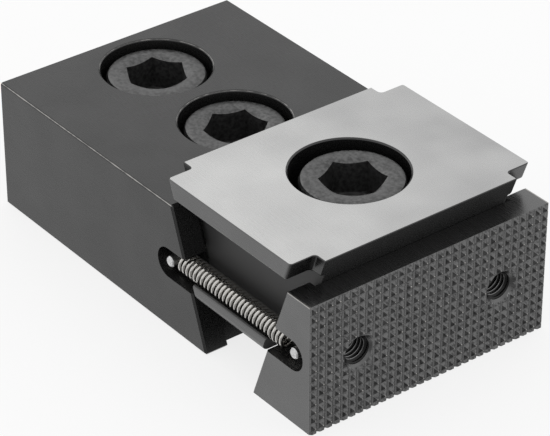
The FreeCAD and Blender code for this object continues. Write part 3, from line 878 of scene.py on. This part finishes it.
# %% [markdown]
# ## The screws
#
# Each screw is a socket head cap screw: a knurled head with a socket for a hexagon key, and a shank
# that is threaded all the way. A lathe makes its core, so the core is a stack of rings here. The
# socket is cut into the same stack: its hexagon is a ring whose distance from the axis changes with
# the angle. Where the round lead-in meets the hexagon's flats, the edge bends down in an arc on
# each flat, because a cone cut by a flat wall does that.

# %% A screw's core as a stack of rings
# An even number, so that the knurling closes, and a multiple of six for the hexagon.
RING_POINTS = 132
HEAD_RADIUS = 9.0 * MM
HEAD_HEIGHT = 12.0 * MM
THREAD_RADIUS = 6.0 * MM
THREAD_PITCH = 1.75 * MM
THREAD_DEPTH = 1.07 * MM
CORE_RADIUS = THREAD_RADIUS - THREAD_DEPTH
KNURL_DEPTH = 0.14 * MM
KEY_HALF_WIDTH = 5.0 * MM
KEY_DEPTH = 6.0 * MM
FLOOR_RADIUS = 0.97 * KEY_HALF_WIDTH
DRILL_POINT_RADIUS = 0.3 * KEY_HALF_WIDTH
DRILL_POINT_DEPTH = 1.4 * MM
CHAMFER = 0.5 * MM
TIP_CHAMFER = 0.6 * MM
# The lead-in starts a little outside the corners of the hexagon.
LEAD_IN_RADIUS = KEY_HALF_WIDTH / math.cos(math.radians(30)) + 0.1 * MM
LEAD_IN_SLOPE = math.tan(math.radians(28))


def ring_angles():
    """Where the points of every ring stand, from 0 to a full turn."""
    return [math.tau * number / RING_POINTS for number in range(RING_POINTS)]


def round_ring(radius, height):
    """A ring is a list of radii and heights, one pair for each point."""
    return [(radius, height)] * RING_POINTS


def knurled_ring(height):
    """Every second point lies in a groove of the knurling."""
    return [(HEAD_RADIUS - KNURL_DEPTH * (number % 2), height) for number in range(RING_POINTS)]


def key_ring(depth=None):
    """The hexagon, level at a depth, or where the lead-in's cone meets it."""
    ring = []
    for angle in ring_angles():
        from_flat = angle % math.radians(60) - math.radians(30)
        reach = KEY_HALF_WIDTH / math.cos(from_flat)
        height = -depth if depth else -(LEAD_IN_RADIUS - reach) * LEAD_IN_SLOPE
        ring.append((reach, height))
    return ring


def screw_rings(shank_length):
    """Rings from the socket's floor over the head to the tip. The head's top is at height 0."""
    under_head = -HEAD_HEIGHT
    tip = under_head - shank_length
    return [
        # The socket: the drill's point, the floor, the hexagon and the lead-in.
        round_ring(DRILL_POINT_RADIUS, -KEY_DEPTH - DRILL_POINT_DEPTH),
        round_ring(FLOOR_RADIUS, -KEY_DEPTH),
        key_ring(KEY_DEPTH),
        key_ring(),
        round_ring(LEAD_IN_RADIUS, 0.0),
        # The head: its rounded rim, the knurling and the chamfer below.
        round_ring(HEAD_RADIUS - 0.75 * MM, 0.0),
        round_ring(HEAD_RADIUS - 0.35 * MM, -0.15 * MM),
        knurled_ring(-0.65 * MM),
        knurled_ring(under_head + CHAMFER),
        round_ring(HEAD_RADIUS - 0.4 * MM, under_head),
        # The shank: the fillet under the head, the core and the tip.
        round_ring(THREAD_RADIUS + CHAMFER, under_head),
        round_ring(CORE_RADIUS + 0.3 * MM, under_head - CHAMFER),
        round_ring(CORE_RADIUS, under_head - 2 * CHAMFER),
        round_ring(CORE_RADIUS, tip + TIP_CHAMFER),
        round_ring(CORE_RADIUS - TIP_CHAMFER, tip),
    ]


def lathe(rings):
    """A closed mesh over a stack of rings, with a pole at each end."""
    shape = bmesh.new()
    stack = [
        [
            shape.verts.new((radius * math.cos(angle), radius * math.sin(angle), height))
            for angle, (radius, height) in zip(ring_angles(), ring)
        ]
        for ring in rings
    ]
    for inner, outer in zip(stack, stack[1:]):
        for number in range(RING_POINTS):
            following = (number + 1) % RING_POINTS
            shape.faces.new((inner[number], inner[following], outer[following], outer[number]))
    for ring in (stack[0], stack[-1]):
        pole = shape.verts.new((0, 0, ring[0].co.z))
        for number in range(RING_POINTS):
            shape.faces.new((ring[number], ring[(number + 1) % RING_POINTS], pole))
    bmesh.ops.recalc_face_normals(shape, faces=shape.faces)
    return shape


print("rings of a screw with a 25 mm shank:", len(screw_rings(25 * MM)))

# %% [markdown]
# The three sockets stand at three different angles, because nobody lines the keys up. The thread
# starts a little below the head, where the die has to stop, and fades at both ends.

# %% The three screws
KEY_ANGLES = {"mounting_screw_rear": 33, "mounting_screw_front": 7, "clamping_screw": 56}
SCREW_BODIES = {
    "mounting_screw_rear": "base", "mounting_screw_front": "base", "clamping_screw": "screw"
}
THREAD_RELIEF = 1.2 * MM
TIP_CLEARANCE = 0.3 * MM

for node_name, key_angle in KEY_ANGLES.items():
    low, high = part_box(node_name)
    shank_length = high.z - low.z - HEAD_HEIGHT
    thread_length = shank_length - THREAD_RELIEF - TIP_CLEARANCE
    ridge = thread_ridge(
        screw_steel, THREAD_RADIUS, THREAD_PITCH, thread_length, THREAD_DEPTH, outwards=1
    )
    ridge.transform(Matrix.Translation((0, 0, low.z - high.z + TIP_CLEARANCE)))
    shape = lathe(screw_rings(shank_length))
    shape.from_mesh(ridge)
    screw_mesh = mesh_of(shape, node_name, screw_steel)
    axis = (low + high) / 2
    to_place = Matrix.Translation((axis.x, axis.y, high.z))
    screw_mesh.transform(to_place @ Matrix.Rotation(math.radians(key_angle), 4, "Z"))
    screw = new_piece(f"threaded_{node_name}", screw_mesh)
    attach(screw, SCREW_BODIES[node_name])
    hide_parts(node_name)
    radii = [math.hypot(point.co.x - axis.x, point.co.y - axis.y) for point in screw_mesh.vertices]
    print(screw.name, "radius", round(max(radii) / MM, 2), "faces", len(screw_mesh.polygons))

# %% [markdown]
# ## The threads of the jaw's holes
#
# A jaw plate is screwed onto the jaw with two M5 screws. Just inside each hole's countersink the
# turns of the thread catch the light as thin crescents, so the ridges are made there and down the
# hole. They are painted darker than the jaw as painted shade inside the hole, and their crests
# carry a painted highlight. They lie along X, and the sides of the holes belong to the jaw.

# %% Thread ridges in the two jaw holes
HOLE_RADIUS = 2.5 * MM
HOLE_PITCH = 0.8 * MM
HOLE_RIDGE = 0.43 * MM
HOLE_SPACING = 30.0 * MM
HOLE_HEIGHT = 12.0 * MM
HOLE_THREAD_START = 1.15 * MM
HOLE_THREAD_LENGTH = 5.2 * MM
# The painted highlight covers the crest for the first depth below its top, and ends at the second.
HIGHLIGHT_CREST_DEPTHS = (0.03 * MM, 0.1 * MM)


def thread_steel_with_painted_shade_and_highlight():
    """The dark skin is painted shade; the crests, found by their distance from the axis of their
    hole, get a painted highlight.
    """
    # The dark colour is painted shade inside the holes.
    material, tree, place, shader, skin = blackened_steel(
        "blackened_thread_steel_painted_shade", "#303030", "#2c2c2c"
    )
    parts = add_node(tree, "ShaderNodeSeparateXYZ", {"Vector": place}).outputs
    across = add_node(tree, "ShaderNodeMath", {0: parts["Y"]}, operation="ABSOLUTE")
    flat = add_node(tree, "ShaderNodeCombineXYZ", {"Y": across, "Z": parts["Z"]})
    radius = add_node(
        tree,
        "ShaderNodeVectorMath",
        {0: flat, 1: (0.0, HOLE_SPACING / 2, HOLE_HEIGHT)},
        operation="DISTANCE",
    ).outputs["Value"]
    light_until, dark_from = (HOLE_RADIUS - HOLE_RIDGE + depth for depth in HIGHLIGHT_CREST_DEPTHS)
    crest = add_node(
        tree,
        "ShaderNodeMapRange",
        {"Value": radius, "From Min": dark_from, "From Max": light_until},
    )
    # The light crests are a painted highlight.
    colour = add_node(
        tree, "ShaderNodeMix", {"Factor": crest, 6: skin, 7: linear("#8e8e8e")}, data_type="RGBA"
    )
    tree.links.new(colour.outputs[2], shader.inputs["Base Color"])
    return material


def jaw_hole_threads():
    """Both ridges in one mesh, starting just inside the countersinks."""
    thread_steel = thread_steel_with_painted_shade_and_highlight()
    shape = bmesh.new()
    for y in (-HOLE_SPACING / 2, HOLE_SPACING / 2):
        ridge = thread_ridge(
            thread_steel, HOLE_RADIUS, HOLE_PITCH, HOLE_THREAD_LENGTH, HOLE_RIDGE, outwards=-1
        )
        to_place = Matrix.Translation((JAW_FACE_X - HOLE_THREAD_START, y, HOLE_HEIGHT))
        ridge.transform(to_place @ Matrix.Rotation(math.radians(-90), 4, "Y"))
        shape.from_mesh(ridge)
    return mesh_of(shape, "jaw_hole_threads", thread_steel)


threads = new_piece("jaw_hole_threads", jaw_hole_threads())
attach(threads, "jaw")
print(threads.name, "faces", len(threads.data.polygons))

# %% [markdown]
# ## The plate and the light
#
# The clamp stands on a white plate in a bright room. Steel shows little but what it mirrors, so the
# room is what makes these surfaces light or dark. The room is white all round and a little darker
# on the photographer's side, as studios are. The plate glows wherever it is looked at, straight or
# in a mirror, so that it is as white as the room and still keeps the clamp's shadow. What steel
# mirrors of the plate's near side is much darker, and that is what parts the two visible sides of
# each point of the jaw. Looked at straight, neither is darker anywhere, so the background is white
# from everywhere. One large soft lamp stands on the left.

# %% Plate, room and lamp
PLATE_REACH = 3.0
PLATE_GLOW_SHARE = 0.8
MIRRORED_PLATE_AT_DARK_SIDE = 0.2
MIRRORED_ROOM_AT_DARK_SIDE = 0.75
DARK_SIDE = Vector((CAMERA_BACK.x, CAMERA_BACK.y, 0)).normalized()
# Cosines of the angle to the dark side.
BRIGHT_UNTIL = 0.1
DARKEST_FROM = 0.7
LAMP_PLACE = Vector((-0.64, 0.0, 0.48))
LAMP_SIZE = 0.6
LAMP_WATTS = 0.6


def room_brightness(tree, direction, darkest):
    """How bright a direction is. What steel mirrors gets darker towards the dark side."""
    towards_dark = add_node(
        tree, "ShaderNodeVectorMath", {0: direction, 1: DARK_SIDE}, operation="DOT_PRODUCT"
    ).outputs["Value"]
    mirrored = add_node(
        tree,
        "ShaderNodeMapRange",
        {
            "Value": towards_dark,
            "From Min": BRIGHT_UNTIL,
            "From Max": DARKEST_FROM,
            "To Min": 1.0,
            "To Max": darkest,
        },
        interpolation_type="SMOOTHSTEP",
    )
    straight = add_node(tree, "ShaderNodeLightPath").outputs["Is Camera Ray"]
    return add_node(tree, "ShaderNodeMath", {0: mirrored, 1: straight}, operation="MAXIMUM")


plate_material = bpy.data.materials.new("white_plate")
plate_material.use_nodes = True
plate_tree = plate_material.node_tree
plate_tree.nodes.clear()
matt = add_node(plate_tree, "ShaderNodeBsdfDiffuse", {"Color": linear("#f2f2f2")})
coming_from = add_node(plate_tree, "ShaderNodeNewGeometry").outputs["Incoming"]
going_to = add_node(
    plate_tree, "ShaderNodeVectorMath", {0: coming_from, "Scale": -1.0}, operation="SCALE"
)
glow_strength = room_brightness(plate_tree, going_to, MIRRORED_PLATE_AT_DARK_SIDE)
glow = add_node(
    plate_tree, "ShaderNodeEmission", {"Color": linear("#ffffff"), "Strength": glow_strength}
)
ray = add_node(plate_tree, "ShaderNodeLightPath").outputs
seen = add_node(plate_tree, "ShaderNodeMath", {0: ray["Is Camera Ray"], 1: ray["Is Glossy Ray"]})
share = add_node(plate_tree, "ShaderNodeMath", {0: seen, 1: PLATE_GLOW_SHARE}, operation="MULTIPLY")
white = add_node(plate_tree, "ShaderNodeMixShader", {0: share, 1: matt, 2: glow})
add_node(plate_tree, "ShaderNodeOutputMaterial", {"Surface": white})

plate_mesh = bpy.data.meshes.new("plate")
plate_mesh.from_pydata(
    [(x * PLATE_REACH, y * PLATE_REACH, 0) for x, y in ((-1, -1), (1, -1), (1, 1), (-1, 1))],
    [],
    [(0, 1, 2, 3)],
)
plate_mesh.materials.append(plate_material)
plate = add_object("plate", plate_mesh)

world = bpy.data.worlds.new("bright_room")
world.use_nodes = True
room_tree = world.node_tree
room_tree.nodes.clear()
direction = add_node(room_tree, "ShaderNodeTexCoord").outputs["Generated"]
room_strength = room_brightness(room_tree, direction, MIRRORED_ROOM_AT_DARK_SIDE)
room = add_node(
    room_tree, "ShaderNodeBackground", {"Color": linear("#ffffff"), "Strength": room_strength}
)
add_node(room_tree, "ShaderNodeOutputWorld", {"Surface": room})
bpy.context.scene.world = world

lamp_data = bpy.data.lights.new("soft_lamp", "AREA")
lamp_data.shape = "SQUARE"
lamp_data.size = LAMP_SIZE
lamp_data.energy = LAMP_WATTS
lamp = add_object("soft_lamp", lamp_data)
lamp.location = LAMP_PLACE
lamp.rotation_euler = LAMP_PLACE.to_track_quat("Z", "Y").to_euler()
print("dark side of the room:", [round(part, 2) for part in DARK_SIDE])
print("lamp in watts:", round(lamp_data.energy, 2))
